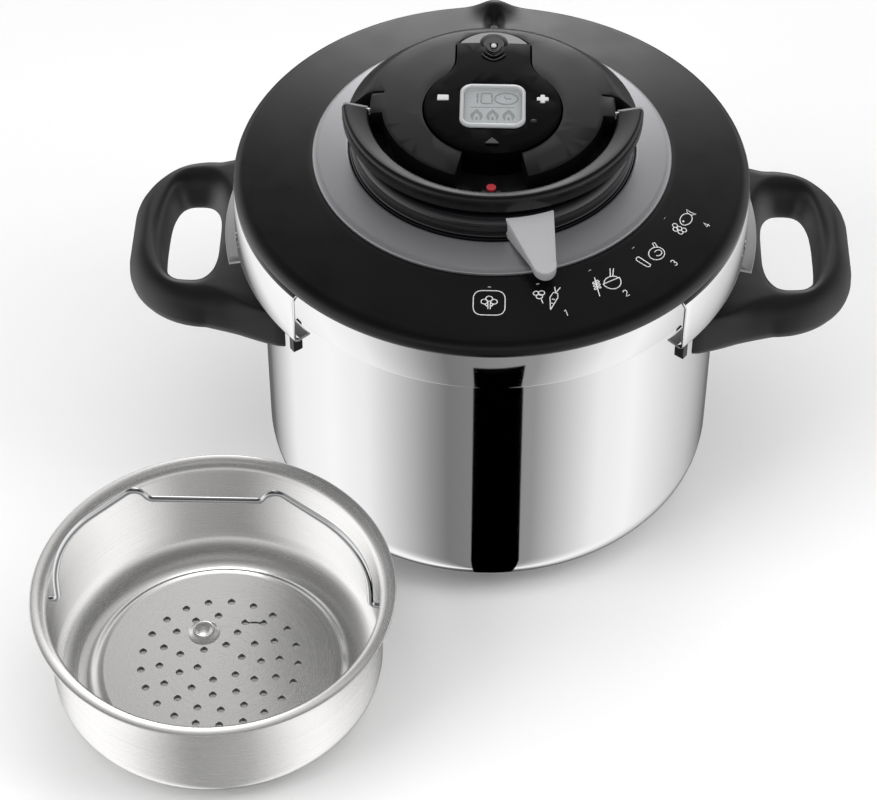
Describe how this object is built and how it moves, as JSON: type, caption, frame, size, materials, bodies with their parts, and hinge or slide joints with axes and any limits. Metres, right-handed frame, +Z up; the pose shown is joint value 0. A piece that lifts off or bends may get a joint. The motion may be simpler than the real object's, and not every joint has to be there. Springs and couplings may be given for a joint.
{
  "type": "pressure cooker",
  "caption": "Stovetop pressure cooker with side handles, a jaw-clamped lid, a folding opening handle, a program selector, a removable battery timer and a steam basket.",
  "frame": {"origin": "centre of the pot base on the support plane", "axes": "+Z up, front (display side) towards -Y, side handles and jaws along +X and -X"},
  "size_m": [0.389, 0.3737, 0.2318],
  "materials": {
    "polished_steel": "mirror polished",
    "base_steel": "turned",
    "satin_steel": "satin",
    "jaw_steel": "polished",
    "hardware_steel": "plain",
    "basket_steel": "satin",
    "wire_steel": "bright",
    "handle_black": "satin",
    "cover_black": "satin",
    "arch_black": "satin",
    "timer_black": "satin",
    "gloss_black": "gloss",
    "inner_black": "matte",
    "satin_silver": "satin",
    "lever_grey": "satin",
    "light_grey_plastic": "satin",
    "silicone": "matte",
    "display_frame": "satin",
    "display_window": "clear",
    "display_cell": "matte",
    "board_green": "matte",
    "white_plastic": "satin",
    "red_plastic": "gloss"
  },
  "bodies": {
    "pot": {"pot_shell": "polished_steel", "base_disc": "base_steel", "handle_left": "handle_black", "handle_right": "handle_black", "handle_bracket_left": "satin_steel", "handle_bracket_right": "satin_steel", "handle_screws": "hardware_steel", "handle_spacers": "handle_black"},
    "lid": {"lid_plate": "satin_steel", "gasket": "silicone", "lid_cover": "cover_black", "steam_outlet": "inner_black", "trim_ring": "satin_silver", "drum_housing": "gloss_black", "dome_cover": "cover_black", "drum_screws": "hardware_steel", "centre_stud": "hardware_steel", "valve_surround": "light_grey_plastic", "valve_seat": "hardware_steel", "indicator_bush": "inner_black", "safety_valve": "hardware_steel", "safety_spring": "hardware_steel", "safety_nut": "hardware_steel"},
    "opening_handle": {"opening_handle": "arch_black", "handle_end_caps": "light_grey_plastic", "pivot_pins": "hardware_steel"},
    "jaw_left": {"jaw_left": "jaw_steel", "slide_bar_left": "hardware_steel", "cam_pin_left": "hardware_steel"},
    "jaw_right": {"jaw_right": "jaw_steel", "slide_bar_right": "hardware_steel", "cam_pin_right": "hardware_steel"},
    "cam": {"cam_disc": "hardware_steel"},
    "selector": {"selector_ring": "gloss_black", "selector_lever": "lever_grey"},
    "timer": {"timer_top": "timer_black", "timer_base": "timer_black", "lcd_frame": "display_frame", "lcd_window": "display_window", "lcd_cell": "display_cell", "circuit_board": "board_green", "battery": "hardware_steel", "battery_door": "timer_black", "buzzer": "inner_black", "timer_screws": "hardware_steel"},
    "minus_button": {"minus_button": "white_plastic"},
    "plus_button": {"plus_button": "white_plastic"},
    "indicator": {"indicator_pin": "inner_black", "indicator_tip": "red_plastic"},
    "operating_valve": {"valve_rod": "hardware_steel", "valve_cap": "light_grey_plastic"},
    "basket": {"basket_shell": "basket_steel", "basket_feet": "basket_steel"},
    "bail": {"basket_bail": "wire_steel"}
  },
  "joints": [
    {"name": "lid_lift", "type": "slide", "parent": "pot", "child": "lid", "axis": [0, 0, 1], "range_m": [0, 0.2]},
    {"name": "handle_hinge", "type": "hinge", "parent": "lid", "child": "opening_handle", "pos_m": [0, 0, 0.2214], "axis": [-1, 0, 0], "range_deg": [0, 90]},
    {"name": "jaw_left_slide", "type": "slide", "parent": "lid", "child": "jaw_left", "axis": [-1, 0, 0], "range_m": [0, 0.013]},
    {"name": "jaw_right_slide", "type": "slide", "parent": "lid", "child": "jaw_right", "axis": [1, 0, 0], "range_m": [0, 0.013]},
    {"name": "cam_spin", "type": "hinge", "parent": "lid", "child": "cam", "pos_m": [0, 0, 0.1843], "axis": [0, 0, 1], "range_deg": [0, 90]},
    {"name": "selector_turn", "type": "hinge", "parent": "lid", "child": "selector", "pos_m": [0, 0, 0.21], "axis": [0, 0, 1], "range_deg": [-16, 48]},
    {"name": "timer_lift", "type": "slide", "parent": "lid", "child": "timer", "axis": [0, 0, 1], "range_m": [0, 0.03]},
    {"name": "minus_press", "type": "slide", "parent": "timer", "child": "minus_button", "axis": [0, 0, -1], "range_m": [0, 0.0008], "stiffness_N_per_m": 400},
    {"name": "plus_press", "type": "slide", "parent": "timer", "child": "plus_button", "axis": [0, 0, -1], "range_m": [0, 0.0008], "stiffness_N_per_m": 400},
    {"name": "indicator_rise", "type": "slide", "parent": "lid", "child": "indicator", "axis": [0, 0, 1], "range_m": [0, 0.004]},
    {"name": "valve_rise", "type": "slide", "parent": "lid", "child": "operating_valve", "axis": [0, 0, 1], "range_m": [0, 0.003]},
    {"name": "basket_lift", "type": "slide", "parent": "pot", "child": "basket", "axis": [0, 0, 1], "range_m": [0, 0.08]},
    {"name": "bail_swing", "type": "hinge", "parent": "basket", "child": "bail", "pos_m": [-0.127, -0.164, 0.058], "axis": [1, 0, 0], "range_deg": [-75, 75]}
  ],
  "couplings": [
    {"joint": "jaw_left_slide", "follows": "handle_hinge", "m_per_rad": 0.008276},
    {"joint": "jaw_right_slide", "follows": "handle_hinge", "m_per_rad": 0.008276},
    {"joint": "cam_spin", "follows": "handle_hinge", "ratio": 1}
  ]
}
